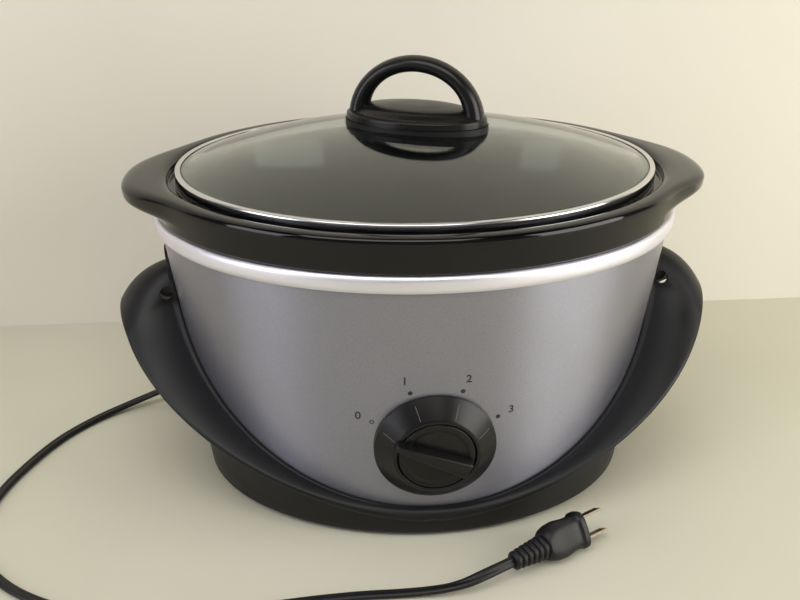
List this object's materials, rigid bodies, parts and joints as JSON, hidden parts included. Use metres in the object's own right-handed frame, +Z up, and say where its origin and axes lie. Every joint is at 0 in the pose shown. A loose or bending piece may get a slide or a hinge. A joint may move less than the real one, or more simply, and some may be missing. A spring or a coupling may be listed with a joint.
{
  "type": "slow cooker",
  "caption": "Oval slow cooker with a lift-out glazed crock, domed glass lid, heated housing with wing handles, turning heat-setting knob and mains cord.",
  "frame": {"origin": "on the table under the middle of the cooker", "axes": "+Z up, the dial faces -Y, +X to the right along the wing handles"},
  "size_m": [0.4744, 0.3214, 0.2705],
  "materials": {
    "base_plastic": "moulded satin black",
    "control_plastic": "moulded satin black",
    "soft_rubber": "moulded matt black",
    "silicone": "soft matt black",
    "wrap_paint": "satin silver-grey paint",
    "well_steel": "bright drawn steel",
    "heater_fibre": "woven glass fibre",
    "plated_steel": "bright plated",
    "dark_screw": "black plated",
    "contact_brass": "bright",
    "switch_phenolic": "moulded phenolic",
    "lead_silicone": "smooth sleeve",
    "crock_glaze": "glossy black glaze",
    "lid_glass": "clear tempered",
    "band_steel": "bright pressed steel",
    "cord_vinyl": "satin black vinyl",
    "plug_blade": "nickel plated"
  },
  "bodies": {
    "housing": {"base_shell": "base_plastic", "dial_bezel": "control_plastic", "feet": "soft_rubber", "cord_gland": "soft_rubber", "outer_wrap": "wrap_paint", "heating_well": "well_steel", "heater_band": "heater_fibre", "thermal_fuse": "heater_fibre", "heater_strap": "plated_steel", "heat_shield": "plated_steel", "well_spacer": "plated_steel", "centre_stud": "plated_steel", "centre_washer": "plated_steel", "centre_nut": "plated_steel", "fuse_clip": "plated_steel", "handle_brackets": "plated_steel", "switch_nut": "plated_steel", "handle_screws": "dark_screw", "heater_terminals": "contact_brass", "switch_blades": "contact_brass", "switch_body": "switch_phenolic", "mains_leads": "lead_silicone", "switch_leads": "lead_silicone", "return_lead": "lead_silicone", "power_cord": "cord_vinyl", "plug_body": "cord_vinyl", "plug_prongs": "plug_blade"},
    "crock": {"crock": "crock_glaze"},
    "lid": {"lid_glass": "lid_glass", "lid_band": "band_steel", "lid_handle": "control_plastic", "handle_seal": "silicone", "lid_screw": "plated_steel", "lid_washer": "plated_steel"},
    "knob": {"control_knob": "control_plastic", "switch_shaft": "plated_steel"}
  },
  "joints": [
    {"name": "crock_lift", "type": "slide", "parent": "housing", "child": "crock", "axis": [0, 0, 1], "range_m": [0, 0.2]},
    {"name": "lid_lift", "type": "slide", "parent": "crock", "child": "lid", "axis": [0, 0, 1], "range_m": [0, 0.12]},
    {"name": "knob_turn", "type": "hinge", "parent": "housing", "child": "knob", "pos_m": [0, -0.12029, 0.067], "axis": [0, 0.9943, 0.1066], "range_deg": [0, 132]}
  ]
}
